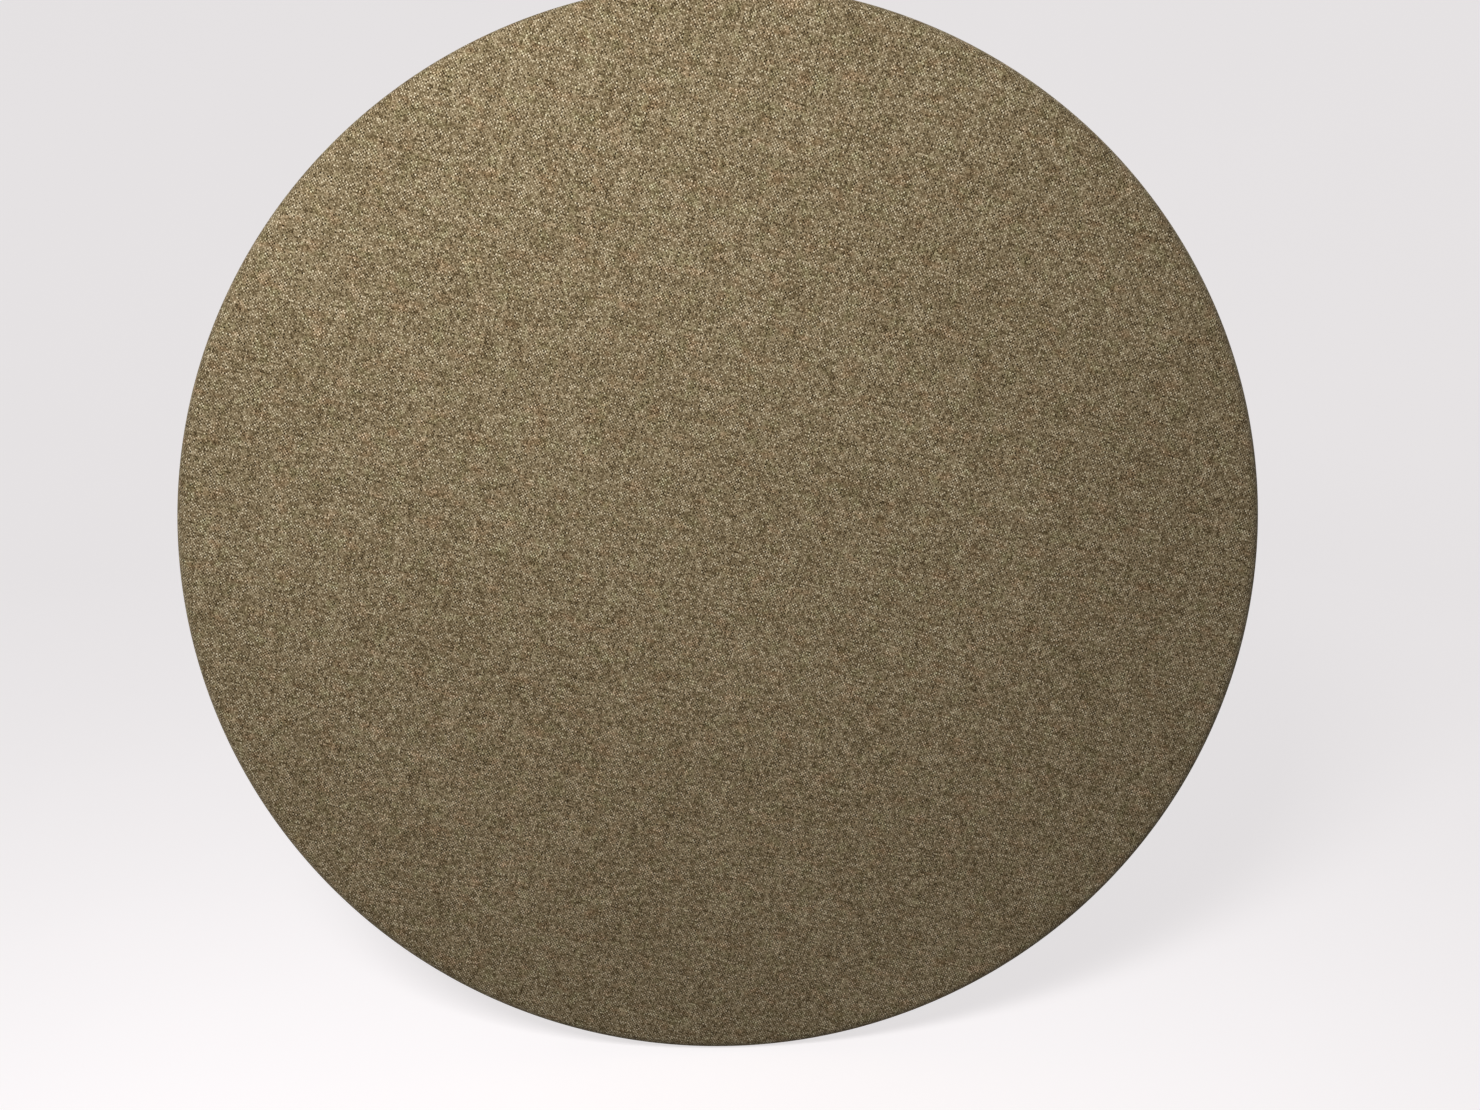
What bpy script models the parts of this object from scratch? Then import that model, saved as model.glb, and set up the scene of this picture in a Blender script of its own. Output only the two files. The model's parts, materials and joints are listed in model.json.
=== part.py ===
"""Round fabric-covered privacy panel: plywood hoop frame, absorbing core, wadding, cloth and two D-ring hangers.

The panel is laid out as on a bench, face up: x to the right, y towards the top of the panel, and z from the back
plane (the wall side) to the face. An empty, panel_bench, then stands it upright: the face looks along -Y, the back
along +Y, and the top is +Z. The origin is the centre of the covered face. All sizes are in metres.
"""

import math

import bmesh
import bpy
from mathutils import Matrix, Vector

# Driving dimensions
PANEL_DIAMETER = 1.200
EDGE_RADIUS = 0.016  # roll of the covered front edge
BACK_EDGE_RADIUS = 0.0035  # roll of the cloth round the back corner
CLOTH = 0.0015
WADDING = 0.006
FRAME_DEPTH = 0.030
BACK_COVER = 0.0008
GAP = 0.0003  # clearance between pieces that touch
HOOP_WIDTH = 0.060
TURN_IN = 0.047  # width of cloth turned onto the back
BACK_COVER_MARGIN = 0.030  # from the rim to the edge of the back cover
FACETS = 72  # round the whole panel

RAIL_HEIGHT = 0.330  # of the rails' centre lines above and below the panel's centre
RAIL_WIDTH = 0.060
RAIL_DEPTH = 0.026
STILE_WIDTH = 0.050
LAP_LENGTH = 0.030  # on the rail's centre line
LAP_DEPTH = 0.012
TONGUE_LENGTH = 0.050
TONGUE_WIDTH = 0.036
TONGUE_DEPTH = 0.006

HANGER_SPACING = 0.500
RING_BAR_HEIGHT = 0.351  # of the D-rings' bars above the panel's centre
RING_WIRE = 0.0035
RING_WIDTH = 0.0275  # between the centre lines of the two sides
RING_DROP = 0.01925  # from the bar to the bow, centre lines
RING_CORNER = 0.0035
RING_REST_TILT = math.radians(5.0)  # the bow lies on the strap, just off plumb
STRAP_WIDTH = 0.020
STRAP_SHEET = 0.0012
STRAP_LENGTH = 0.047  # from the bar down
STRAP_END_RADIUS = 0.007
STRAP_HOLES = {"upper": 0.0265, "lower": 0.0395}

SCREW_SHANK = 0.0036
SCREW_HEAD = 0.0076
SCREW_POINT = 0.004
SCREW_FACETS = 12
LAP_SCREW_LENGTH = 0.022
HANGER_SCREW_LENGTH = 0.022
BUMPER_SCREW_LENGTH = 0.016
DRILL_SPARE = 0.002  # hole left beyond a screw's point

BUMPER_CIRCLE = 0.543  # radius on which the bumpers sit
BUMPER_HEIGHT = 0.008
BUMPER_BASE = 0.023
BUMPER_FACE = 0.019
BUMPER_BORE = 0.010
BUMPER_FLOOR = 0.0035  # rubber left under the screw's head

# Levels above the back plane, from the back to the face
TURNED_CLOTH_LOW = BACK_COVER + GAP
TURNED_CLOTH_HIGH = TURNED_CLOTH_LOW + CLOTH
FRAME_BACK = TURNED_CLOTH_HIGH + GAP
FRAME_FRONT = FRAME_BACK + FRAME_DEPTH
WADDING_LOW = FRAME_FRONT + GAP
WADDING_HIGH = WADDING_LOW + WADDING
CLOTH_LOW = WADDING_HIGH + GAP
FACE = CLOTH_LOW + CLOTH
BEYOND = 0.02  # how far a cutter stands past the wood

# Radii, from the rim inwards
RIM = PANEL_DIAMETER / 2
WADDING_RIM = RIM - CLOTH - GAP
WADDING_BORE = WADDING_RIM - WADDING
HOOP_RIM = WADDING_BORE - GAP
HOOP_BORE = HOOP_RIM - HOOP_WIDTH
SHOULDER = math.sqrt(HOOP_BORE**2 - RAIL_HEIGHT**2)  # from the middle of a rail to the hoop
RAIL_REACH = SHOULDER + LAP_LENGTH
ROLL_CENTRE = (RIM - EDGE_RADIUS, FACE - EDGE_RADIUS)

SIDES = {"left": -1, "right": 1}
LEVELS = {"upper": 1, "lower": -1}
CORNERS = {f"{level}_{side}": (x, y) for level, y in LEVELS.items() for side, x in SIDES.items()}

TWEED = (0.19, 0.15, 0.085)
NEEDLED_WHITE = (0.80, 0.79, 0.75)
BIRCH_PLY = (0.62, 0.46, 0.28)
PINE = (0.66, 0.49, 0.29)
CORE_GREY = (0.42, 0.43, 0.42)
DUST_BLACK = (0.02, 0.02, 0.022)
ZINC = (0.62, 0.63, 0.65)
RUBBER = (0.025, 0.025, 0.025)

for old in list(bpy.data.objects):
    bpy.data.objects.remove(old, do_unlink=True)

parts = bpy.data.collections.new("privacy_panel")
cutters = bpy.data.collections.new("cutters")
bpy.context.scene.collection.children.link(parts)
bpy.context.scene.collection.children.link(cutters)
cutters.hide_render = True

bench = bpy.data.objects.new("panel_bench", None)
bench.location = (0, FACE, 0)
bench.rotation_euler = (math.radians(90), 0, 0)
parts.objects.link(bench)


def finish(name, colour, roughness, metallic):
    """A plain Principled material."""
    material = bpy.data.materials.new(name)
    material.use_nodes = True
    shader = material.node_tree.nodes["Principled BSDF"]
    shader.inputs["Base Color"].default_value = (*colour, 1.0)
    shader.inputs["Roughness"].default_value = roughness
    shader.inputs["Metallic"].default_value = metallic
    return material


def add(name, mesh, colour, roughness, metallic=0.0, parent=bench):
    """Links a mesh as a named piece with its own material."""
    piece = bpy.data.objects.new(name, mesh)
    parts.objects.link(piece)
    piece.parent = parent
    mesh.materials.append(finish(name, colour, roughness, metallic))
    return piece


def cutter(name, mesh):
    """Links a mesh as a tool for Booleans, left out of the panel."""
    tool = bpy.data.objects.new(name, mesh)
    cutters.objects.link(tool)
    tool.parent = bench
    tool.hide_render = True
    tool.display_type = "WIRE"
    return tool


def cut(piece, tool, operation="DIFFERENCE"):
    boolean = piece.modifiers.new(tool.name, "BOOLEAN")
    boolean.operation = operation
    boolean.solver = "EXACT"
    boolean.object = tool


def box_mesh(name, low, high):
    """A box between two corners."""
    size = Vector(high) - Vector(low)
    middle = (Vector(high) + Vector(low)) / 2
    shape = bmesh.new()
    bmesh.ops.create_cube(shape, size=1.0, matrix=Matrix.Translation(middle) @ Matrix.Diagonal((*size, 1)))
    mesh = bpy.data.meshes.new(name)
    shape.to_mesh(mesh)
    shape.free()
    return mesh


def disc_mesh(name, radius, low, high):
    """A straight-sided disc round the panel's centre, between two levels."""
    shape = bmesh.new()
    bmesh.ops.create_cone(
        shape,
        cap_ends=True,
        segments=FACETS,
        radius1=radius,
        radius2=radius,
        depth=high - low,
        matrix=Matrix.Translation((0, 0, (low + high) / 2)),
    )
    mesh = bpy.data.meshes.new(name)
    shape.to_mesh(mesh)
    shape.free()
    return mesh


def profile_mesh(name, points, closed=False):
    """A profile in the xz plane, as a chain of edges."""
    edges = [(i, i + 1) for i in range(len(points) - 1)]
    if closed:
        edges.append((len(points) - 1, 0))
    mesh = bpy.data.meshes.new(name)
    mesh.from_pydata([(r, 0.0, z) for r, z in points], edges, [])
    return mesh


def turn(piece, facets):
    """Turns a piece's profile round z. The profile runs down its outer side."""
    screw = piece.modifiers.new("turned", "SCREW")
    screw.axis = "Z"
    screw.steps = facets
    screw.render_steps = facets
    screw.use_merge_vertices = True
    screw.merge_threshold = 0.00002


def arc(centre, radius, start, end, steps):
    """Points along an arc, its angles in degrees from the first axis towards the second."""
    angles = [math.radians(start + (end - start) * i / steps) for i in range(steps + 1)]
    return [(centre[0] + radius * math.cos(a), centre[1] + radius * math.sin(a)) for a in angles]


def outline_mesh(name, loops, depth):
    """A flat outline, with any further loops as its holes, extruded to a depth and welded shut."""
    curve = bpy.data.curves.new(name, "CURVE")
    curve.dimensions = "2D"
    curve.fill_mode = "BOTH"
    curve.extrude = depth / 2
    for points in loops:
        closed_spline(curve, points)
    return curve_solid(name, curve)


def closed_spline(curve, points):
    spline = curve.splines.new("POLY")
    spline.points.add(len(points) - 1)
    for point, (x, y) in zip(spline.points, points):
        point.co = (x, y, 0, 1)
    spline.use_cyclic_u = True


def curve_solid(name, curve):
    """The mesh of a curve, its caps welded to its sides."""
    holder = bpy.data.objects.new(name, curve)
    bpy.context.scene.collection.objects.link(holder)
    graph = bpy.context.evaluated_depsgraph_get()
    mesh = bpy.data.meshes.new_from_object(holder.evaluated_get(graph))
    bpy.data.objects.remove(holder, do_unlink=True)
    mesh.name = name
    shape = bmesh.new()
    shape.from_mesh(mesh)
    bmesh.ops.remove_doubles(shape, verts=shape.verts, dist=0.00001)
    bmesh.ops.recalc_face_normals(shape, faces=shape.faces)
    shape.to_mesh(mesh)
    shape.free()
    return mesh


# Screws. Each has one drill, which cuts its hole through every piece that it passes.


def screw(name, place, seat, length, countersunk=False):
    """A wood screw, its point towards the face, with a domed or a countersunk head. Returns its drill."""
    shank = SCREW_SHANK / 2
    head = SCREW_HEAD / 2
    point = seat + length
    sink = seat + head - shank
    stem = [(0.0, point), (shank, point - SCREW_POINT)]
    if countersunk:
        profile = stem + [(shank, sink), (head, seat), (0.0, seat)]
    else:
        dome = [(head * math.cos(a), seat - 0.6 * head * math.sin(a)) for a in (0.0, 0.5, 1.0)]
        profile = stem + [(shank, seat)] + dome + [(0.0, seat - 0.6 * head)]
    piece = add(name, profile_mesh(name, profile), ZINC, 0.35, 1.0)
    piece.location = (*place, 0.0)
    turn(piece, SCREW_FACETS)

    bore = shank + GAP
    hole = [(0.0, point + DRILL_SPARE), (bore, point + DRILL_SPARE)]
    if countersunk:
        hole += [(bore, sink), (head + GAP, seat), (head + GAP, -BEYOND), (0.0, -BEYOND)]
    else:
        hole += [(bore, -BEYOND), (0.0, -BEYOND)]
    drill = cutter(f"drill_{name}", profile_mesh("drill", hole))
    drill.location = piece.location
    turn(drill, SCREW_FACETS)
    return drill


lap_drills = {
    corner: screw(
        f"rail_screw_{corner}", (x * (SHOULDER + LAP_LENGTH / 2), y * RAIL_HEIGHT), FRAME_BACK, LAP_SCREW_LENGTH, True
    )
    for corner, (x, y) in CORNERS.items()
}
hanger_drills = {
    (side, place): screw(
        f"hanger_screw_{side}_{place}",
        (x * HANGER_SPACING / 2, RING_BAR_HEIGHT - drop),
        -2 * GAP - 2 * STRAP_SHEET,
        HANGER_SCREW_LENGTH,
    )
    for side, x in SIDES.items()
    for place, drop in STRAP_HOLES.items()
}
bumper_places = {
    corner: (x * BUMPER_CIRCLE * math.sqrt(0.5), y * BUMPER_CIRCLE * math.sqrt(0.5))
    for corner, (x, y) in CORNERS.items()
}
bumper_drills = {
    corner: screw(f"bumper_screw_{corner}", place, -2 * GAP - BUMPER_FLOOR, BUMPER_SCREW_LENGTH)
    for corner, place in bumper_places.items()
}


# Cloth and wadding: a shallow bowl of each, turned about the middle of the panel


def fabric_cover():
    """The cloth over face and rim, its edge turned onto the back."""
    heel = (RIM - BACK_EDGE_RADIUS, TURNED_CLOTH_LOW + BACK_EDGE_RADIUS)
    outside = [(0.0, FACE)] + arc(ROLL_CENTRE, EDGE_RADIUS, 90, 0, 5)
    outside += arc(heel, BACK_EDGE_RADIUS, 0, -90, 3) + [(RIM - TURN_IN, TURNED_CLOTH_LOW)]
    inside = [(RIM - TURN_IN, TURNED_CLOTH_HIGH)] + arc(heel, BACK_EDGE_RADIUS - CLOTH, -90, 0, 2)
    inside += arc(ROLL_CENTRE, EDGE_RADIUS - CLOTH, 0, 90, 5) + [(0.0, CLOTH_LOW)]
    piece = add("fabric_cover", profile_mesh("fabric_cover", outside + inside), TWEED, 0.95)
    turn(piece, FACETS)


def wadding_layer():
    """The wadding over face and rim, its back edge trimmed at a slant."""
    outside = [(0.0, WADDING_HIGH)] + arc(ROLL_CENTRE, WADDING_RIM - ROLL_CENTRE[0], 90, 0, 5)
    outside += [(WADDING_RIM, FRAME_BACK + BACK_EDGE_RADIUS), (WADDING_RIM - BACK_EDGE_RADIUS, FRAME_BACK)]
    inside = [(WADDING_BORE, FRAME_BACK)] + arc(ROLL_CENTRE, WADDING_BORE - ROLL_CENTRE[0], 0, 90, 4)
    inside += [(0.0, WADDING_LOW)]
    piece = add("wadding_layer", profile_mesh("wadding_layer", outside + inside), NEEDLED_WHITE, 1.0)
    turn(piece, FACETS)


# The wooden frame: a hoop of four quarters on loose tongues, two rails lapped into its back, and a stile


def tongue_mesh(name, x, y, clearance):
    """A loose tongue across the joint at one of the hoop's four ends, or with clearance, its slot."""
    middle = Vector((x, y, 0)) * (HOOP_BORE + HOOP_RIM) / 2 + Vector((0, 0, (FRAME_BACK + FRAME_FRONT) / 2))
    along, across = TONGUE_LENGTH / 2 + clearance, TONGUE_WIDTH / 2 + clearance
    half = Vector((across if x else along, along if x else across, TONGUE_DEPTH / 2 + clearance))
    return box_mesh(name, middle - half, middle + half)


def lap_recess(x, y):
    """The cutter that lets a rail's end into the hoop's back."""
    wide = RAIL_WIDTH / 2 + GAP
    half = Vector((RAIL_REACH + GAP, wide, (LAP_DEPTH + GAP + BEYOND) / 2))
    low = Vector((0, RAIL_HEIGHT - wide, FRAME_BACK - BEYOND))
    high = low + Vector((half.x, 2 * half.y, 2 * half.z))
    corners = [Vector((x * point.x, y * point.y, point.z)) for point in (low, high)]
    lowest = [min(pair) for pair in zip(*corners)]
    highest = [max(pair) for pair in zip(*corners)]
    return cutter("lap_recess", box_mesh("lap_recess", lowest, highest))


def hoop_quarter(name, x, y):
    """A quarter of the hoop, its front outer edge rounded over."""
    profile = arc(ROLL_CENTRE, HOOP_RIM - ROLL_CENTRE[0], 90, 0, 4)
    profile += [(HOOP_RIM, FRAME_BACK), (HOOP_BORE, FRAME_BACK), (HOOP_BORE, FRAME_FRONT)]
    piece = add(name, profile_mesh(name, profile, closed=True), BIRCH_PLY, 0.6)
    turn(piece, FACETS)
    near, far = GAP / 2, RIM
    low = (near if x > 0 else -far, near if y > 0 else -far, -BEYOND)
    high = (far if x > 0 else -near, far if y > 0 else -near, FRAME_FRONT + BEYOND)
    cut(piece, cutter("quarter", box_mesh("quarter", low, high)), "INTERSECT")
    return piece


def rail(level, y):
    """A rail 4 mm shallower than the hoop, its ends halved to lap into the hoop's back."""
    name = f"{level}_rail"
    low = y * RAIL_HEIGHT - RAIL_WIDTH / 2
    high = y * RAIL_HEIGHT + RAIL_WIDTH / 2
    mesh = box_mesh(name, (-RAIL_REACH, low, FRAME_BACK), (RAIL_REACH, high, FRAME_BACK + RAIL_DEPTH))
    piece = add(name, mesh, PINE, 0.65)
    top = FRAME_FRONT + BEYOND
    step = FRAME_BACK + LAP_DEPTH
    past_shoulder = [(RIM, top), (RIM, step), (HOOP_BORE - GAP, step), (HOOP_BORE - GAP, top)]
    shoulder = cutter("shoulder", profile_mesh("shoulder", past_shoulder, closed=True))
    turn(shoulder, FACETS)
    cut(piece, shoulder)
    for side in SIDES:
        cut(piece, lap_drills[f"{level}_{side}"])
    return piece


def wooden_frame():
    slots = {}
    for place, (x, y) in {"top": (0, 1), "right": (1, 0), "bottom": (0, -1), "left": (-1, 0)}.items():
        name = f"hoop_tongue_{place}"
        add(name, tongue_mesh(name, x, y, 0.0), BIRCH_PLY, 0.6)
        slots[place] = cutter(f"slot_{place}", tongue_mesh("slot", x, y, GAP))
    for (level, y), end in zip(LEVELS.items(), ("top", "bottom")):
        for side, x in SIDES.items():
            quarter = hoop_quarter(f"hoop_{end}_{side}", x, y)
            corner = f"{level}_{side}"
            for tool in (slots[end], slots[side], lap_recess(x, y), lap_drills[corner], bumper_drills[corner]):
                cut(quarter, tool)
    upper_rail = rail("upper", LEVELS["upper"])
    rail("lower", LEVELS["lower"])
    for drill in hanger_drills.values():
        cut(upper_rail, drill)
    half = Vector((STILE_WIDTH / 2, RAIL_HEIGHT - RAIL_WIDTH / 2 - GAP, 0))
    foot = Vector((0, 0, FRAME_BACK))
    add("centre_stile", box_mesh("centre_stile", foot - half, foot + half + Vector((0, 0, RAIL_DEPTH))), PINE, 0.65)


# The absorbing core: four slabs that fill the frame


def core_slab(name, low, high):
    """A slab cut from a box to the round of the hoop."""
    piece = add(name, box_mesh(name, (*low, FRAME_BACK), (*high, FRAME_FRONT)), CORE_GREY, 1.0)
    disc = disc_mesh("core_round", HOOP_BORE - GAP, FRAME_BACK - BEYOND, FRAME_FRONT + BEYOND)
    cut(piece, cutter(f"round_{name}", disc), "INTERSECT")


def absorbing_core():
    inside = RAIL_HEIGHT - RAIL_WIDTH / 2 - GAP
    outside = RAIL_HEIGHT + RAIL_WIDTH / 2 + GAP
    beside = STILE_WIDTH / 2 + GAP
    core_slab("core_top", (-RIM, outside), (RIM, RIM))
    core_slab("core_bottom", (-RIM, -RIM), (RIM, -outside))
    core_slab("core_left", (-RIM, -inside), (-beside, inside))
    core_slab("core_right", (beside, -inside), (RIM, inside))


# The back: dust cover, rubber bumpers and D-ring hangers


def back_cover():
    """A disc of black non-woven, pierced by the screws of the bumpers and the hangers."""
    piece = add("back_cover", disc_mesh("back_cover", RIM - BACK_COVER_MARGIN, 0.0, BACK_COVER), DUST_BLACK, 0.9)
    for drill in (*bumper_drills.values(), *hanger_drills.values()):
        cut(piece, drill)


def wall_bumper(corner):
    """A tapered rubber bumper with a counterbore for its screw."""
    wall = -BUMPER_HEIGHT - GAP
    floor = -BUMPER_FLOOR - GAP
    bore = SCREW_SHANK / 2 + GAP
    chamfer = 0.001
    profile = [
        (BUMPER_BASE / 2, -GAP),
        (BUMPER_BASE / 2, -GAP - chamfer),
        (BUMPER_FACE / 2, wall + chamfer),
        (BUMPER_FACE / 2 - chamfer, wall),
        (BUMPER_BORE / 2, wall),
        (BUMPER_BORE / 2, floor),
        (bore, floor),
        (bore, -GAP),
    ]
    name = f"wall_bumper_{corner}"
    piece = add(name, profile_mesh(name, profile, closed=True), RUBBER, 0.8)
    piece.location = (*bumper_places[corner], 0.0)
    turn(piece, 24)


def strap_mesh(fold):
    """The strap's side view extruded to its width: two layers of sheet, and the fold with its bore for the bar."""
    layers = 2 * STRAP_SHEET
    meet = math.degrees(math.asin((layers - fold) / fold))
    side_view = [(-STRAP_LENGTH, fold - layers), (-STRAP_LENGTH, fold)]
    side_view += arc((0, 0), fold, 90, -180 + meet, 14)
    mesh = outline_mesh("strap", [side_view, arc((0, 0), RING_WIRE / 2 + GAP, 0, 330, 11)], STRAP_WIDTH)
    # The side view's own x runs up the panel, its y towards the face, and its z across the strap.
    mesh.transform(Matrix(((0, 0, 1, 0), (1, 0, 0, 0), (0, 1, 0, 0), (0, 0, 0, 1))))
    return mesh


def ring_mesh():
    """The D-ring: a straight bar, two rounded corners, two sides and a half-round bow."""
    half = RING_WIDTH / 2
    path = arc((half - RING_CORNER, -RING_CORNER), RING_CORNER, 90, 0, 4)
    path += arc((0, half - RING_DROP), half, 0, -180, 14)
    path += arc((RING_CORNER - half, -RING_CORNER), RING_CORNER, 180, 90, 4)
    curve = bpy.data.curves.new("ring", "CURVE")
    curve.dimensions = "3D"
    curve.bevel_depth = RING_WIRE / 2
    curve.bevel_resolution = 2
    closed_spline(curve, path)
    return curve_solid("ring", curve)


def hanger(side, x):
    """A steel strap folded round the bar of a D-ring, and the ring, which swings on its own pivot."""
    fold = RING_WIRE / 2 + GAP + STRAP_SHEET
    pivot = bpy.data.objects.new(f"ring_pivot_{side}", None)
    pivot.location = (x * HANGER_SPACING / 2, RING_BAR_HEIGHT, -GAP - fold)
    pivot.parent = bench
    parts.objects.link(pivot)

    strap = add(f"hanger_strap_{side}", strap_mesh(fold), ZINC, 0.35, 1.0)
    strap.location = pivot.location
    half = STRAP_WIDTH / 2 + GAP
    end = -STRAP_LENGTH - GAP
    blank = arc((half - STRAP_END_RADIUS, end + STRAP_END_RADIUS), STRAP_END_RADIUS, 0, -90, 5)
    blank += arc((STRAP_END_RADIUS - half, end + STRAP_END_RADIUS), STRAP_END_RADIUS, -90, -180, 5)
    blank += [(-half, STRAP_WIDTH), (half, STRAP_WIDTH)]
    punch = cutter(f"strap_blank_{side}", outline_mesh("strap_blank", [blank], 2 * BEYOND))
    punch.location = pivot.location
    cut(strap, punch, "INTERSECT")
    for place in STRAP_HOLES:
        cut(strap, hanger_drills[side, place])

    ring = add(f"hanger_ring_{side}", ring_mesh(), ZINC, 0.3, 1.0, parent=pivot)
    ring.rotation_euler = (RING_REST_TILT, 0, 0)


fabric_cover()
wadding_layer()
wooden_frame()
absorbing_core()
back_cover()
for corner in CORNERS:
    wall_bumper(corner)
for side, x in SIDES.items():
    hanger(side, x)

# Each piece takes the mesh that its modifiers make, shaded smooth except across its sharp edges.
graph = bpy.context.evaluated_depsgraph_get()
settled = {
    piece: bpy.data.meshes.new_from_object(piece.evaluated_get(graph)) for piece in parts.objects if piece.data
}
for piece, mesh in settled.items():
    piece.modifiers.clear()
    piece.data = mesh
    mesh.shade_smooth()
    mesh.set_sharp_from_angle(angle=math.radians(30))
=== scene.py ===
"""A round privacy panel: a plywood hoop with a fibre core, wadded, covered in tweed and hung on two D-rings.

The sections follow the panel as it is put together, from the frame outwards, then the fittings on its back.
Metres throughout. The covered face looks along -Y, the back along +Y, and the top is +Z.
"""

import json
import math

import bmesh
import bpy
from mathutils import Matrix, Vector, noise


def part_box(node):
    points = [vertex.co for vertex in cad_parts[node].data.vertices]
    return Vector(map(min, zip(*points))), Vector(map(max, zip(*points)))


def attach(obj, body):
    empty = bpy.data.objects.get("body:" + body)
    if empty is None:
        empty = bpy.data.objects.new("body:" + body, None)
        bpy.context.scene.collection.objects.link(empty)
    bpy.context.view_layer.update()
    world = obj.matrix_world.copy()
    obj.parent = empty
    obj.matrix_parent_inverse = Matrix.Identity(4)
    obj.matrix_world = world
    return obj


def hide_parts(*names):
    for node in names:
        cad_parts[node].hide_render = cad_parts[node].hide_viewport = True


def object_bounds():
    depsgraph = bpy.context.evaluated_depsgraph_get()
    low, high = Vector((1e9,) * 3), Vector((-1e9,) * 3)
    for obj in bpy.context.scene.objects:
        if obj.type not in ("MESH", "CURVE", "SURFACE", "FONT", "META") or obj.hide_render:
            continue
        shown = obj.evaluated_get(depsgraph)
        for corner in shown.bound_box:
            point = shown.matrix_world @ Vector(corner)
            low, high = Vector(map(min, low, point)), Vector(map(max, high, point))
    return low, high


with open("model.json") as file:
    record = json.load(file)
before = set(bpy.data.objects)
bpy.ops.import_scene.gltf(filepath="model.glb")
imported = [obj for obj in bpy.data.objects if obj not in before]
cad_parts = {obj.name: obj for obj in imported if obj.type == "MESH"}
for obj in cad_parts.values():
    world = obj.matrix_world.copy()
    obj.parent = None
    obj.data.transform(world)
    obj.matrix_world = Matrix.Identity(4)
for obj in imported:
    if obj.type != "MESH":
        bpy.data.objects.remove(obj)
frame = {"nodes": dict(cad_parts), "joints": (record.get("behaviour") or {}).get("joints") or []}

cad_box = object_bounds()
node = frame["nodes"]

# --- Camera ---------------------------------------------------------------------------------------
# It stands about a metre and a quarter before the panel, a little above its middle, and looks
# slightly down on it through a wide lens.

EYE = Vector((-0.0208, -1.2490, 0.2610))
AHEAD = Vector((0.0290, 0.9801, -0.1962)).normalized()
UPWARD = Vector((0.0088, 0.1960, 0.9806))
FOCAL_LENGTH_MM = 28.1
SENSOR_WIDTH_MM = 36

camera = bpy.data.objects.new("camera", bpy.data.cameras.new("camera"))
camera.data.lens = FOCAL_LENGTH_MM
camera.data.sensor_width = SENSOR_WIDTH_MM
across = AHEAD.cross(UPWARD).normalized()
turned = Matrix((across, across.cross(AHEAD), -AHEAD)).transposed().to_4x4()
camera.matrix_world = Matrix.Translation(EYE) @ turned
bpy.context.scene.collection.objects.link(camera)
bpy.context.scene.camera = camera
bpy.context.scene.view_settings.view_transform = "Standard"

# --- Studio ---------------------------------------------------------------------------------------
# A pale matt floor that sweeps up into a round wall well behind every viewpoint. A soft box on the
# left lights the covered face, and another behind the panel lights its back.

FLOOR_LEVEL = cad_box[0].z - 0.0005
SWEEP_START = 3.2
SWEEP_RADIUS = 1.2
WALL_HEIGHT = 5.5
KEY_POWER = 27
BACK_POWER = 34
AMBIENT = 0.10


def linear(red, green, blue):
    """A colour given as a paint swatch, 0 to 255, as the light that it reflects."""
    return tuple(((part / 255 + 0.055) / 1.055) ** 2.4 for part in (red, green, blue)) + (1.0,)


class Value:
    """A socket in a node tree. A sum written on it adds the Math nodes that work it out."""

    def __init__(self, nodes, socket):
        self.nodes = nodes
        self.socket = socket

    def math(self, operation, *others):
        sockets = dict(enumerate((self, *others)))
        return self.nodes.add("ShaderNodeMath", {"operation": operation}, sockets)

    def __add__(self, other):
        return self.math("ADD", other)

    def __sub__(self, other):
        return self.math("SUBTRACT", other)

    def __mul__(self, other):
        return self.math("MULTIPLY", other)

    def __truediv__(self, other):
        return self.math("DIVIDE", other)

    def __rsub__(self, other):
        return self.math("MULTIPLY_ADD", -1.0, other)

    __radd__ = __add__
    __rmul__ = __mul__


class Nodes:
    """A node tree in the making."""

    def __init__(self, tree):
        self.tree = tree

    def add(self, kind, settings=None, sockets=None, output=0):
        """A node of any kind: its settings first, then the values or links of its sockets."""
        made = self.tree.nodes.new(kind)
        for name, setting in (settings or {}).items():
            if name == "stops":
                for place, colour in setting[2:]:
                    made.color_ramp.elements.new(place)
                for element, (place, colour) in zip(made.color_ramp.elements, sorted(setting)):
                    element.position = place
                    element.color = colour
            else:
                setattr(made, name, setting)
        for name, value in (sockets or {}).items():
            self.set(made, name, value)
        return Value(self, made.outputs[output])

    def set(self, made, name, value):
        if isinstance(value, Value):
            self.tree.links.new(value.socket, made.inputs[name])
        else:
            made.inputs[name].default_value = value

    def parts(self, vector):
        """The x, y and z of a vector."""
        split = self.add("ShaderNodeSeparateXYZ", {}, {0: vector}).socket.node
        return [Value(self, socket) for socket in split.outputs]

    def join(self, x, y, z=0.0):
        return self.add("ShaderNodeCombineXYZ", {}, {0: x, 1: y, 2: z})

    def scaled(self, vector, factors):
        return self.add("ShaderNodeVectorMath", {"operation": "MULTIPLY"}, {0: vector, 1: factors})

    def noise(self, vector, scale, detail=2.0, roughness=0.5):
        sockets = {"Vector": vector, "Scale": scale, "Detail": detail, "Roughness": roughness}
        return self.add("ShaderNodeTexNoise", {}, sockets)

    def blend(self, factor, first, second, kind="MIX"):
        """Two colours mixed."""
        settings = {"data_type": "RGBA", "blend_type": kind}
        return self.add("ShaderNodeMix", settings, {0: factor, 6: first, 7: second}, output=2)

    def ramp(self, value, *stops):
        """A colour for each value. The first two (value, colour) stops are the ends, the rest between."""
        return self.add("ShaderNodeValToRGB", {"stops": stops}, {0: value})

    def between(self, value, low, high):
        """0 below low, 1 above high."""
        settings = {"interpolation_type": "SMOOTHSTEP"}
        sockets = {"Value": value, "From Min": low, "From Max": high}
        return self.add("ShaderNodeMapRange", settings, sockets)


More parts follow.
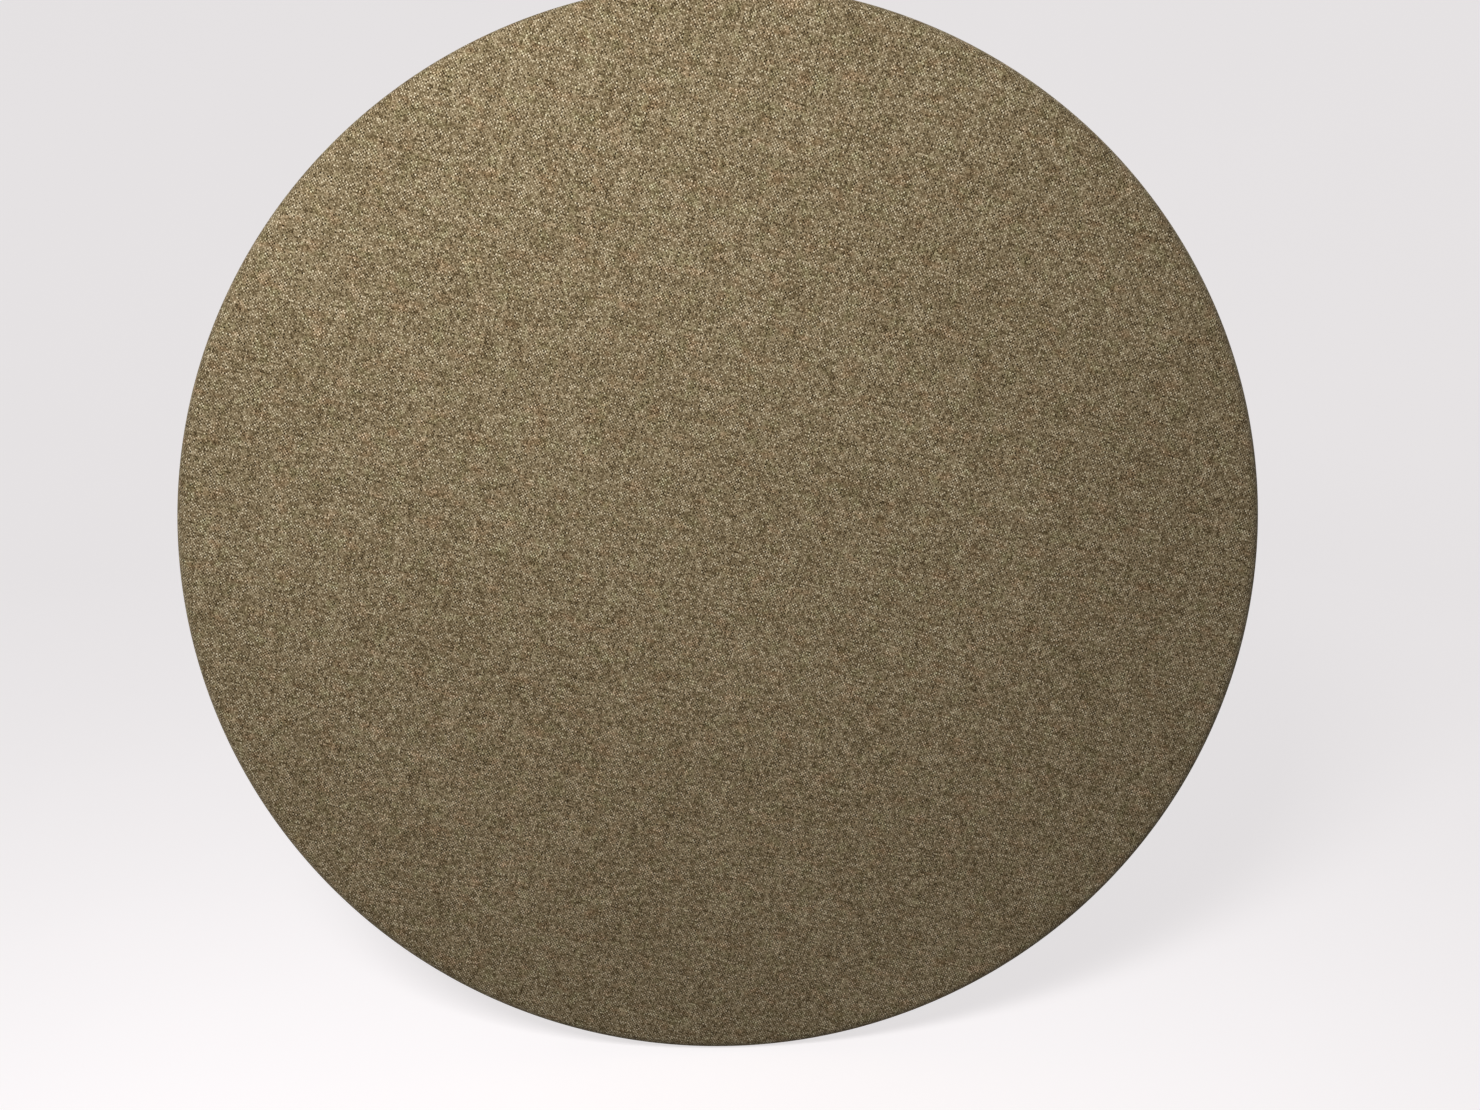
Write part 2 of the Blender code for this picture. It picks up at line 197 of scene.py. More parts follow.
class Finish(Nodes):
    """A material: a Principled shader with its even values, and nodes for what changes over it."""

    def __init__(self, name, **even):
        self.material = bpy.data.materials.new(name)
        self.material.use_nodes = True
        super().__init__(self.material.node_tree)
        self.shader = self.tree.nodes["Principled BSDF"]
        for socket, value in even.items():
            self.shader.inputs[socket.replace("_", " ")].default_value = value

    def place(self):
        """The point on the object, in its own metres."""
        return self.add("ShaderNodeTexCoord", output=3)

    def wear(self, colour, roughness=None):
        """The colour, and the roughness where that changes too."""
        self.set(self.shader, "Base Color", colour)
        if roughness is not None:
            self.set(self.shader, "Roughness", roughness)

    def relief(self, height, depth):
        """Bumps: height runs from 0 to 1, and depth is what 1 stands for, in metres."""
        bump = self.add("ShaderNodeBump", {}, {"Height": height, "Distance": depth, "Strength": 1.0})
        self.set(self.shader, "Normal", bump)


def smooth(mesh, angle=30):
    mesh.shade_smooth()
    mesh.set_sharp_from_angle(angle=math.radians(angle))


def turned_mesh(name, profile, steps, axis="Y", middle=(0, 0, 0)):
    """A profile of (radius, level) points turned round an axis, and closed where it meets it."""
    shape = bmesh.new()
    rings = []
    for radius, level in profile:
        count = steps if radius > 1e-7 else 1
        turns = [2 * math.pi * k / steps for k in range(count)]
        spots = [(radius * math.cos(t), radius * math.sin(t)) for t in turns]
        places = [(x, y, level) if axis == "Z" else (x, level, y) for x, y in spots]
        rings.append([shape.verts.new(Vector(place) + Vector(middle)) for place in places])
    for inner, outer in zip(rings, rings[1:]):
        for k in range(steps):
            corners = [inner[k % len(inner)], inner[(k + 1) % len(inner)]]
            corners += [outer[(k + 1) % len(outer)], outer[k % len(outer)]]
            shape.faces.new(list(dict.fromkeys(corners)))
    bmesh.ops.recalc_face_normals(shape, faces=shape.faces)
    mesh = bpy.data.meshes.new(name)
    shape.to_mesh(mesh)
    shape.free()
    return mesh


def merge(mesh):
    """Joins the points of a mesh that lie on each other, and turns its faces outwards."""
    shape = bmesh.new()
    shape.from_mesh(mesh)
    bmesh.ops.remove_doubles(shape, verts=shape.verts, dist=0.000001)
    bmesh.ops.recalc_face_normals(shape, faces=shape.faces)
    shape.to_mesh(mesh)
    shape.free()


def arc(centre, radius, start, end, steps):
    """Points along an arc, its angles in degrees from the first axis towards the second."""
    angles = [math.radians(start + (end - start) * k / steps) for k in range(steps + 1)]
    return [(centre[0] + radius * math.cos(a), centre[1] + radius * math.sin(a)) for a in angles]


def link(name, mesh, material):
    piece = bpy.data.objects.new(name, mesh)
    bpy.context.scene.collection.objects.link(piece)
    mesh.materials.clear()
    mesh.materials.append(material)
    return piece


studio_paint = Finish("studio_paint", Roughness=0.9, Specular_IOR_Level=0.1, Emission_Strength=0.70)
mottle = studio_paint.noise(studio_paint.place(), 1.3, 3.0)
paint = studio_paint.ramp(mottle, (0.3, linear(188, 185, 186)), (0.7, linear(193, 190, 191)))
studio_paint.wear(colour=paint)
studio_paint.shader.inputs["Emission Color"].default_value = (1.0, 0.97, 0.98, 1.0)

sweep = [(0.0, FLOOR_LEVEL), (SWEEP_START, FLOOR_LEVEL)]
sweep += arc((SWEEP_START, FLOOR_LEVEL + SWEEP_RADIUS), SWEEP_RADIUS, -90, 0, 24)[1:]
sweep.append((SWEEP_START + SWEEP_RADIUS, FLOOR_LEVEL + WALL_HEIGHT))
floor = link("floor", turned_mesh("floor", sweep, 128, axis="Z"), studio_paint.material)
floor.data.flip_normals()
smooth(floor.data, 60)
floor.visible_diffuse = False


def lamp(name, place, target, size, power):
    """A square soft box that faces a point."""
    light = bpy.data.objects.new(name, bpy.data.lights.new(name, "AREA"))
    light.data.shape = "SQUARE"
    light.data.size = size
    light.data.energy = power
    light.location = place
    light.rotation_euler = (Vector(target) - Vector(place)).to_track_quat("-Z", "Y").to_euler()
    bpy.context.scene.collection.objects.link(light)
    return light


lamp("key_lamp", (-0.50, -1.36, 1.04), (0, 0, 0), 0.5, KEY_POWER)
back_lamp = lamp("back_lamp", (1.4, 2.3, 1.7), (0, 0, 0), 1.4, BACK_POWER)
# The back lamp leaves the floor alone, so that the panel throws no shadow forwards.
unlit = bpy.data.collections.new("not_lit_from_behind")
unlit.objects.link(floor)
unlit.collection_objects[0].light_linking.link_state = "EXCLUDE"
back_lamp.light_linking.receiver_collection = unlit

world = bpy.data.worlds.new("studio")
world.use_nodes = True
world.node_tree.nodes["Background"].inputs["Color"].default_value = (1.0, 1.0, 1.0, 1.0)
world.node_tree.nodes["Background"].inputs["Strength"].default_value = AMBIENT
bpy.context.scene.world = world

# --- Hoop -----------------------------------------------------------------------------------------
# Four quarters sawn from 30 mm birch plywood, joined end to end by loose plywood tongues let into
# slots. The veneers lie parallel to the face, so the sawn rims show them as stripes.

VENEER = 0.0015

plywood = Finish("birch_plywood", Roughness=0.55, Specular_IOR_Level=0.35)
x, y, z = plywood.parts(plywood.place())
veneer_number = (y / VENEER).math("FLOOR")
crossed = (veneer_number * 0.5).math("FRACT") * 2.0
along = x + (z - x) * crossed
athwart = z + (x - z) * crossed
figure = plywood.noise(plywood.join(along * 3.0, athwart * 40.0, veneer_number * 3.7), 2.0, 4.0, 0.6)
pores = plywood.noise(plywood.join(along * 60.0, athwart * 900.0, veneer_number * 1.3), 1.0, 2.0)
glue_line = plywood.between((y / VENEER).math("PINGPONG", 0.5), 0.0, 0.06)
tone = figure * 0.7 + pores * 0.3 - crossed * 0.08
wood = plywood.ramp(
    tone, (0.25, linear(176, 140, 96)), (0.7, linear(222, 192, 148)), (0.45, linear(206, 172, 126))
)
glued = plywood.blend(glue_line, linear(110, 78, 48), wood)
plywood.wear(colour=glued, roughness=0.45 + pores * 0.25)
plywood.relief(pores * 0.6 + figure * 0.4, 0.00015)


def coat(names, material):
    """Gives CAD nodes their material."""
    for name in names:
        node[name].data.materials.clear()
        node[name].data.materials.append(material)


coat([name for name in node if name.startswith("hoop_")], plywood.material)

# --- Rails and stile ------------------------------------------------------------------------------
# Planed pine: two rails lapped into the hoop's back and screwed there, and a stile between them.
# The grain runs along each piece.

RING_SPACING = 0.004


def pine(name, turn):
    """Planed pine with its grain along x, or turned to another direction."""
    finish = Finish(name, Specular_IOR_Level=0.3)
    turned = finish.add("ShaderNodeMapping", {}, {"Vector": finish.place(), "Rotation": (0.0, turn, 0.0)})
    x, y, z = finish.parts(turned)
    wander = finish.noise(finish.join(x * 1.2, y * 9.0, z * 9.0), 1.0, 2.0)
    ring = ((z * 0.9 + y * 0.5) / RING_SPACING + wander * 7.0).math("FRACT")
    late_wood = finish.between(ring, 0.45, 0.95) * (1 - finish.between(ring, 0.95, 1.0))
    fibre = finish.noise(finish.join(x * 25.0, y * 900.0, z * 900.0), 1.0, 3.0, 0.7)
    pale = finish.ramp(fibre, (0.2, linear(226, 190, 138)), (0.8, linear(240, 212, 164)))
    wood = finish.blend(late_wood * 0.75, pale, linear(190, 132, 78))
    finish.wear(colour=wood, roughness=0.5 + fibre * 0.25)
    finish.relief(late_wood * 0.4 + fibre * 0.6, 0.0002)
    return finish.material


coat(["upper_rail", "lower_rail"], pine("rail_pine", 0.0))
coat(["centre_stile"], pine("stile_pine", math.pi / 2))

# --- Core -----------------------------------------------------------------------------------------
# Four slabs of pressed grey fibre that make the panel absorb sound. They are cut to fill the frame
# and held in it by the cloth on both sides.

felt = Finish("pressed_fibre", Roughness=1.0, Specular_IOR_Level=0.1)
matted = felt.noise(felt.scaled(felt.place(), (1.0, 2.2, 1.0)), 900.0, 4.0, 0.75)
clumps = felt.noise(felt.place(), 90.0, 3.0, 0.6)
fibre = felt.noise(felt.scaled(felt.place(), (260.0, 1600.0, 2400.0)), 1.0, 3.0, 0.7)
shade = matted * 0.45 + clumps * 0.3 + fibre * 0.25
felt.wear(colour=felt.ramp(shade, (0.3, linear(120, 122, 122)), (0.7, linear(196, 196, 190))))
felt.relief(shade, 0.0006)
coat([name for name in node if name.startswith("core_")], felt.material)

# --- Wadding --------------------------------------------------------------------------------------
# A 6 mm sheet of needled polyester, drawn over the face and the rim and trimmed level with the
# hoop's back. It softens the edge under the cover.

WADDING_DEPTH = 0.006
EDGE_ROLL = 0.016
TRIM_HEIGHT = 0.0035
TRIM_ROUNDING = 0.0012
WADDING_STEPS = 240

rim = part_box("fabric_cover")[1].x
wadding_low, wadding_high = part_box("wadding_layer")
wadding_rim = wadding_high.x
roll = (rim - EDGE_ROLL, cad_box[0].y + EDGE_ROLL)
outer_roll = wadding_rim - roll[0]


def ripple(x, z, size, seed):
    """A smooth unevenness from -1 to 1, its hollows about size apart."""
    return noise.noise(Vector((x / size, z / size, seed)))


def polar_mesh(name, rings, steps, offset):
    """A skin of rings round the panel's axis. Each ring is (radius, level, distance along the skin).

    The UV map holds the flat cloth: the distance along the skin, laid out at each point's own angle.
    offset(radius, turn, distance) moves a point towards the wall."""
    shape = bmesh.new()
    flat = shape.loops.layers.uv.new("flat_cloth")
    middle = rings[0]
    centre = shape.verts.new((0, middle[1] + offset(0.0, 0.0, 0.0), 0))
    rows = []
    for radius, level, distance in rings[1:]:
        row = []
        for k in range(steps):
            turn = 2 * math.pi * k / steps
            depth = level + offset(radius, turn, distance)
            row.append(shape.verts.new((radius * math.cos(turn), depth, radius * math.sin(turn))))
        rows.append(row)

    def lay(face, corners):
        for loop, (distance, turn) in zip(face.loops, corners):
            loop[flat].uv = (distance * math.cos(turn), distance * math.sin(turn))

    for k in range(steps):
        after = (k + 1) % steps
        turn, next_turn = 2 * math.pi * k / steps, 2 * math.pi * (k + 1) / steps
        first = rings[1][2]
        face = shape.faces.new((centre, rows[0][k], rows[0][after]))
        lay(face, ((0.0, turn), (first, turn), (first, next_turn)))
        for inner, outer, near, far in zip(rows, rows[1:], rings[1:], rings[2:]):
            face = shape.faces.new((inner[k], outer[k], outer[after], inner[after]))
            lay(face, ((near[2], turn), (far[2], turn), (far[2], next_turn), (near[2], next_turn)))
    mesh = bpy.data.meshes.new(name)
    shape.to_mesh(mesh)
    shape.free()
    mesh.shade_smooth()
    return mesh


def with_distance(profile):
    """Each (radius, level) point of a profile with its distance along it."""
    rings, run = [(*profile[0], 0.0)], 0.0
    for before, here in zip(profile, profile[1:]):
        run += math.dist(before, here)
        rings.append((*here, run))
    return rings


def level_rings(last, level, spacing):
    """Points from the axis to a radius, evenly spaced on a flat."""
    count = math.ceil(last / spacing)
    return [(last * k / count, level) for k in range(count + 1)]


def settle(piece):
    """Makes what the piece's modifiers give its own plain mesh."""
    graph = bpy.context.evaluated_depsgraph_get()
    mesh = bpy.data.meshes.new_from_object(piece.evaluated_get(graph))
    piece.modifiers.clear()
    piece.data = mesh


def thicken(piece, thickness, side):
    """A wall of that thickness behind the skin (side -1) or before it (side 1)."""
    wall = piece.modifiers.new("thickness", "SOLIDIFY")
    wall.thickness = thickness
    wall.offset = side


def wadding_offset(radius, turn, distance):
    """The wadding's own unevenness, just behind its nominal face."""
    return 0.0002 + 0.00015 * ripple(radius * math.cos(turn), radius * math.sin(turn), 0.03, 4.0)


skin = level_rings(roll[0], wadding_low.y, 0.028)
skin += arc(roll, outer_roll, -90, 0, 8)[1:]
skin += [
    (wadding_rim, wadding_high.y - TRIM_HEIGHT),
    (wadding_rim - TRIM_ROUNDING, wadding_high.y - 0.0010),
]
wadding_mesh = polar_mesh("wadding", with_distance(skin), WADDING_STEPS, wadding_offset)

wool = Finish("needled_wadding", Roughness=1.0, Specular_IOR_Level=0.05, Sheen_Weight=0.3)
tufts = wool.noise(wool.place(), 55.0, 4.0, 0.65)
strands = wool.noise(wool.scaled(wool.place(), (1400.0, 900.0, 300.0)), 1.0, 3.0, 0.7)
needled = wool.add("ShaderNodeTexVoronoi", {}, {"Vector": wool.place(), "Scale": 260.0})
loft = tufts * 0.5 + strands * 0.3 + needled * 0.2
wool.wear(colour=wool.ramp(loft, (0.25, linear(206, 202, 194)), (0.7, linear(240, 238, 232))))
wool.relief(loft, 0.0012)

wadding = link("wadding", wadding_mesh, wool.material)
thicken(wadding, WADDING_DEPTH, -1)
settle(wadding)
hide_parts("wadding_layer")
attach(wadding, "panel")

# --- Cover ----------------------------------------------------------------------------------------
# One round of wool tweed, pulled over the face and the rolled edge, turned onto the hoop's back and
# stapled there, its fullness pressed into small pleats. It is a plain weave of mixed fibres, laid a
# little askew, so that its weft falls to the right.

CLOTH = 0.0015
BACK_ROLL = 0.0035
SEGMENTS = 720
PLEATS = 96
PLEAT_RISE = 0.0014
TURNED_EDGE = 0.553
PRESSED_EDGE = 0.560
WARP_PITCH = 0.00169
WEFT_PITCH = 0.00179
CLOTH_SKEW = math.radians(16.5)

turned_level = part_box("fabric_cover")[1].y
heel = (rim - BACK_ROLL, turned_level - BACK_ROLL)


def pleat(turn):
    """The rise of the pleats at a turn of the panel, from 0 to 1: narrow ridges at uneven distances."""
    shift = 0.32 * noise.noise(Vector((math.cos(turn) * 9, math.sin(turn) * 9, 2.0)))
    phase = math.pi * (turn * PLEATS / (2 * math.pi) + shift)
    height = 0.75 + 0.5 * noise.noise(Vector((math.cos(turn) * 14, math.sin(turn) * 14, 8.0)))
    return height * abs(math.cos(phase)) ** 5


def pleat_rise(radius, turn):
    """How far a pleat stands off the hoop's back: nothing at the rim or well under the back cover."""
    out = min(max((rim - 0.0005 - radius) / 0.012, 0.0), 1.0)
    pressed = min(max((radius - PRESSED_EDGE) / 0.018, 0.0), 1.0)
    return PLEAT_RISE * pleat(turn) * out * out * (3 - 2 * out) * pressed


def cover_offset(radius, turn, distance):
    """Pleats on the back, and on the face the slight softness of cloth over wadding."""
    across, up = radius * math.cos(turn), radius * math.sin(turn)
    if distance > heel_end:
        return pleat_rise(radius, turn)
    if radius > roll[0] + 0.001:
        return 0.0
    soft = min(1.0, (roll[0] + 0.001 - radius) / 0.05)
    swell = 0.00035 * ripple(across, up, 0.16, 1.0) + 0.00012 * ripple(across, up, 0.05, 3.0)
    return soft * swell - 0.0001


skin = level_rings(roll[0], cad_box[0].y, 0.022)
skin += arc(roll, EDGE_ROLL, -90, 0, 12)[1:]
skin += [(rim, roll[1] + (heel[1] - roll[1]) * share) for share in (0.33, 0.66)]
skin += arc(heel, BACK_ROLL, 0, 90, 5)
heel_place = len(skin) - 1
for share in (0.14, 0.28, 0.42, 0.56, 0.7, 0.85, 1):
    skin.append((heel[0] + (TURNED_EDGE - heel[0]) * share, turned_level))
cover_profile = with_distance(skin)
heel_end = cover_profile[heel_place][2]
cut_radius = cover_profile[-1][2]
cover_mesh = polar_mesh("cover", cover_profile, SEGMENTS, cover_offset)

tweed = Finish(
    "tweed", Roughness=0.92, Specular_IOR_Level=0.12, Sheen_Weight=0.25, Sheen_Roughness=0.4,
    Sheen_Tint=linear(236, 222, 190),
)
flat = tweed.add("ShaderNodeUVMap", {"uv_map": "flat_cloth"})
straight = tweed.add("ShaderNodeMapping", {}, {"Vector": flat, "Rotation": (0.0, 0.0, CLOTH_SKEW)})
drift = tweed.add("ShaderNodeTexNoise", {}, {"Vector": straight, "Scale": 38.0, "Detail": 2.0}, output=1)
drift_x, drift_y, _ = tweed.parts(drift)
run_x, run_y, _ = tweed.parts(straight)
x = run_x / WARP_PITCH + (drift_x - 0.5) * 1.0
y = run_y / WEFT_PITCH + (drift_y - 0.5) * 1.0
warp_number, weft_number = x.math("FLOOR"), y.math("FLOOR")
from_warp, from_weft = x - warp_number - 0.5, y - weft_number - 0.5
weft_on_top = ((warp_number + weft_number) * 0.5).math("FRACT") * 2.0


def upper(warp, weft):
    """What belongs to the yarn that lies on top at a crossing."""
    return warp + (weft - warp) * weft_on_top


# The yarn on top is round across its own width, and dives at both ends of each crossing.
aside, along, run = upper(from_warp, from_weft), upper(from_weft, from_warp), upper(y, x)
number = upper(warp_number, weft_number + 0.37)
height = (1 - aside * aside * 3.5) * (1 - along * along * 2.9)

# The warp is the darker yarn. Mixed fibres change each yarn's tone along its length, and its two
# plies wind round it.
strands = tweed.noise(tweed.join(run * 1.7 + aside * 1.6, aside * 7.0, number * 3.3), 1.0, 2.0, 0.7)
yarn_tone = tweed.noise(tweed.join(run * 1.25, number * 9.7, 3.1), 1.0, 1.0, 0.6)
slub = tweed.noise(tweed.join(run * 0.085, number * 1.1, 40.0), 1.0, 1.0, 0.6)
knot = tweed.add("ShaderNodeTexWhiteNoise", {}, {"Vector": tweed.join(warp_number, weft_number, 1.0)})
ply = ((x + y) * math.pi).math("COSINE")
cloud = tweed.noise(flat, 26.0, 3.0, 0.6)
broad = tweed.noise(flat, 5.0, 2.0, 0.5)
tone = (
    (weft_on_top - 0.5) * 0.20
    + ply * 0.05
    + (yarn_tone - 0.5) * 1.00
    + (knot - 0.5) * 0.40
    + (strands - 0.5) * 0.44
    + (slub - 0.5) * 0.80
    + (cloud - 0.5) * 0.10
    + (broad - 0.5) * 0.08
    + 0.52
)
dyed = tweed.ramp(
    tone, (0.0, linear(38, 28, 11)), (1.0, linear(236, 221, 189)), (0.25, linear(86, 70, 43)),
    (0.5, linear(135, 117, 86)), (0.75, linear(182, 164, 131)),
)
greenish = tweed.between(tweed.noise(straight, 48.0, 3.0, 0.65), 0.48, 0.70)
rusty = tweed.between(tweed.noise(tweed.scaled(straight, (0.6, 1.0, 1.0)), 60.0, 3.0, 0.65), 0.50, 0.72)
dyed = tweed.blend(greenish * 0.45, dyed, (0.90, 1.04, 0.86, 1.0), "MULTIPLY")
dyed = tweed.blend(rusty * 0.52, dyed, (1.14, 0.92, 0.84, 1.0), "MULTIPLY")
# Painted shade: the cloth's colour is darkened where the yarn on top sinks into the gaps between crossings,
# standing in for the shade that falls there.
painted_gap_shade = 0.58 + tweed.between(height, 0.0, 0.75) * 0.49
tweed.wear(colour=tweed.blend(1.0, dyed, tweed.join(painted_gap_shade, painted_gap_shade, painted_gap_shade), "MULTIPLY"))
tweed.relief(height * 0.8 + strands * 0.2, 0.00030)

cover = link("cover", cover_mesh, tweed.material)
thicken(cover, CLOTH, -1)
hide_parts("fabric_cover")
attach(cover, "panel")
2 * cut_radius
2 * cut_radius
math.pi * cut_radius**2

# --- Back cover -----------------------------------------------------------------------------------
# A round of black spun non-woven that hides the frame. It is pulled flat over the back, stapled
# near its edge, and dips a little between the rails. Hot points have pressed a fine diamond pattern
# into it.

NON_WOVEN = 0.0004
COVER_DIP = 0.0011
STILE_HALF = 0.025
HOOP_INSIDE = 0.532
POINT_PITCH = 0.0016

back_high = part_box("back_cover")[1]
back_rim = back_high.x
wall_side = cad_box[0].y + back_high.y
rail_height = (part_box("upper_rail")[0].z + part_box("upper_rail")[1].z) / 2
rail_half = rail_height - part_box("upper_rail")[0].z


def from_wood(x, z):
    """How far a point of the back lies from the nearest rail, stile or hoop, in metres."""
    to_rail = abs(abs(z) - rail_height) - rail_half
    to_stile = abs(x) - STILE_HALF if abs(z) < rail_height else 1.0
    to_hoop = HOOP_INSIDE - math.hypot(x, z)
    return max(0.0, min(to_rail, to_stile, to_hoop))


def back_offset(radius, turn, distance):
    """The dip between the wood, the creases pulled in by the staples, and the rise over the pleats."""
    across, up = radius * math.cos(turn), radius * math.sin(turn)
    slack = 1 - math.exp(-from_wood(across, up) / 0.035)
    creases = 0.5 + 0.5 * math.sin(turn * 44 + 3 * noise.noise(Vector((across * 4, up * 4, 5.0))))
    creases *= max(0.0, (radius - 0.40) / 0.17) ** 2 * 0.00022
    dip = COVER_DIP * slack * (0.55 + 0.45 * ripple(across, up, 0.09, 6.0))
    hem = pleat_rise(radius, turn) + 0.00025 * max(0.0, (radius - 0.564) / 0.006)
    return hem - dip - creases


skin = level_rings(0.520, wall_side, 0.0125)
skin += [(radius / 1000, wall_side) for radius in range(526, 571, 4)]
back_profile = with_distance(skin)
back_profile[-1] = (back_rim, wall_side, back_rim)
back_mesh = polar_mesh("back_cover_cloth", back_profile, SEGMENTS, back_offset)

spun = Finish("spun_black", Roughness=0.82, Specular_IOR_Level=0.3, Sheen_Weight=0.05)
flat = spun.add("ShaderNodeUVMap", {"uv_map": "flat_cloth"})
leaning = spun.add("ShaderNodeMapping", {}, {"Vector": flat, "Rotation": (0.0, 0.0, math.radians(45))})
across, along, _ = spun.parts(spun.scaled(leaning, (1 / POINT_PITCH, 1 / POINT_PITCH, 1.0)))
point_x = (across.math("FRACT") - 0.5).math("ABSOLUTE")
point_y = (along.math("FRACT") - 0.5).math("ABSOLUTE")
pressed = 1 - spun.between(point_x.math("MAXIMUM", point_y), 0.18, 0.30)
fibre_one = spun.noise(spun.scaled(flat, (2600.0, 320.0, 1.0)), 1.0, 3.0, 0.7)
fibre_two = spun.noise(spun.scaled(leaning, (380.0, 2900.0, 1.0)), 1.0, 3.0, 0.7)
patchy = spun.noise(flat, 60.0, 4.0, 0.6)
web = fibre_one * 0.35 + fibre_two * 0.35 + patchy * 0.3
spun.wear(
    colour=spun.ramp(web - pressed * 0.10, (0.28, linear(26, 26, 27)), (0.72, linear(62, 62, 64))),
    roughness=0.9 - pressed * 0.35,
)
spun.relief(web * 0.5 - pressed * 0.6, 0.00018)

back_cloth = link("back_cover_cloth", back_mesh, spun.material)
thicken(back_cloth, NON_WOVEN, -1)
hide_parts("back_cover")
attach(back_cloth, "panel")

# --- Staples --------------------------------------------------------------------------------------
# Zinc-plated wire staples, shot by hand through the back cover and the turned-in tweed into the
# hoop, so they sit a little unevenly. Only their crowns show.

STAPLE_CIRCLE = 0.562
STAPLE_COUNT = 88
CROWN = 0.0100
LEG = 0.0080
WIRE = 0.0011

zinc = Finish("bright_zinc", Metallic=1.0, Specular_IOR_Level=0.5)
cloudy = zinc.noise(zinc.place(), 320.0, 4.0, 0.6)
drawn = zinc.noise(zinc.scaled(zinc.place(), (260.0, 2600.0, 2600.0)), 1.0, 3.0, 0.7)
dulled = zinc.between(zinc.noise(zinc.place(), 130.0, 3.0, 0.6), 0.48, 0.72)
plate = zinc.ramp(cloudy * 0.6 + drawn * 0.4, (0.3, linear(172, 176, 182)), (0.7, linear(192, 195, 199)))
zinc.wear(
    colour=zinc.blend(dulled * 0.3, plate, linear(160, 158, 148)),
    roughness=0.27 + drawn * 0.12 + dulled * 0.12,
)
zinc.relief(cloudy * 0.3 + drawn * 0.7, 0.00002)


class Recipe(Nodes):
    """A Geometry Nodes tree with named inputs, and a last node that makes real mesh of one material."""

    def __init__(self, name, **inputs):
        super().__init__(bpy.data.node_groups.new(name, "GeometryNodeTree"))
        face = self.tree.interface
        face.new_socket("Geometry", in_out="INPUT", socket_type="NodeSocketGeometry")
        self.keys = {
            label: face.new_socket(label, in_out="INPUT", socket_type=f"NodeSocket{kind}").identifier
            for label, kind in inputs.items()
        }
        face.new_socket("Geometry", in_out="OUTPUT", socket_type="NodeSocketGeometry")
        self.entry = self.tree.nodes.new("NodeGroupInput")

    def given(self, label):
        return Value(self, self.entry.outputs[label])

    def finish(self, geometry, material):
        solid = self.add("GeometryNodeRealizeInstances", {}, {0: geometry})
        coated = self.add("GeometryNodeSetMaterial", {}, {"Geometry": solid, "Material": material})
        leaving = self.tree.nodes.new("NodeGroupOutput")
        self.tree.links.new(coated.socket, leaving.inputs[0])

    def make(self, name, start, slot, **values):
        """A plain mesh piece from a start mesh and the values of the named inputs."""
        piece = bpy.data.objects.new(name, start)
        bpy.context.scene.collection.objects.link(piece)
        modifier = piece.modifiers.new("recipe", "NODES")
        modifier.node_group = self.tree
        for label, value in values.items():
            modifier[self.keys[label]] = value
        settle(piece)
        smooth(piece.data, 35)
        return piece


staples_recipe = Recipe(
    "staple_ring", Circle="Float", Count="Int", Crown="Float", Leg="Float", Wire="Float", Seed="Int"
)
give = staples_recipe.given
ring = staples_recipe.add("GeometryNodeMeshCircle", {}, {"Vertices": give("Count"), "Radius": give("Circle")})
uneven = staples_recipe.add(
    "FunctionNodeRandomValue",
    {"data_type": "FLOAT_VECTOR"},
    {0: (-0.0012, -0.0012, 0.0), 1: (0.0012, 0.0012, 0.0), "Seed": give("Seed")},
)
ring = staples_recipe.add("GeometryNodeSetPosition", {}, {"Geometry": ring, "Offset": uneven})
number = staples_recipe.add("GeometryNodeInputIndex")
far_end = number.math("GREATER_THAN", 1.5) - 0.5
in_leg = (number - 1.5).math("ABSOLUTE").math("GREATER_THAN", 1.0)
bend = staples_recipe.join(0.0, far_end * give("Crown"), in_leg * give("Leg") * -1.0)
line = staples_recipe.add("GeometryNodeMeshLine", {}, {"Count": 4})
line = staples_recipe.add("GeometryNodeSetPosition", {}, {"Geometry": line, "Position": bend})
path = staples_recipe.add("GeometryNodeMeshToCurve", {}, {"Mesh": line})
path = staples_recipe.add(
    "GeometryNodeFilletCurve", {"mode": "POLY"}, {"Curve": path, "Radius": give("Wire") * 0.9, "Count": 2}
)
section = staples_recipe.add(
    "GeometryNodeCurvePrimitiveQuadrilateral",
    {},
    {"Width": give("Wire") * 0.75, "Height": give("Wire") * 1.3},
)
staple = staples_recipe.add(
    "GeometryNodeCurveToMesh", {}, {"Curve": path, "Profile Curve": section, "Fill Caps": True}
)
outwards = staples_recipe.add("GeometryNodeInputPosition")
facing = staples_recipe.add(
    "FunctionNodeAlignRotationToVector", {"axis": "X", "pivot_axis": "Z"}, {"Vector": outwards}
)
askew = staples_recipe.add(
    "FunctionNodeRandomValue", {}, {2: -0.16, 3: 0.16, "Seed": give("Seed") + 7}, output=1
)
askew = staples_recipe.add("FunctionNodeAxisAngleToRotation", {}, {"Angle": askew})
facing = staples_recipe.add("FunctionNodeRotateRotation", {"rotation_space": "LOCAL"}, {0: facing, 1: askew})
placed = staples_recipe.add(
    "GeometryNodeInstanceOnPoints", {}, {"Points": ring, "Instance": staple, "Rotation": facing}
)
seat = (0.0, wall_side + WIRE * 0.25, 0.0)
upright = staples_recipe.add(
    "GeometryNodeTransform",
    {},
    {"Geometry": placed, "Translation": seat, "Rotation": (-math.pi / 2, 0.0, 0.0)},
)
staples_recipe.finish(upright, zinc.material)
staples = staples_recipe.make(
    "cover_staples", bpy.data.meshes.new("staple_start"), "zinc_steel",
    Circle=STAPLE_CIRCLE, Count=STAPLE_COUNT, Crown=CROWN, Leg=LEG, Wire=WIRE, Seed=11,
)
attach(staples, "panel")

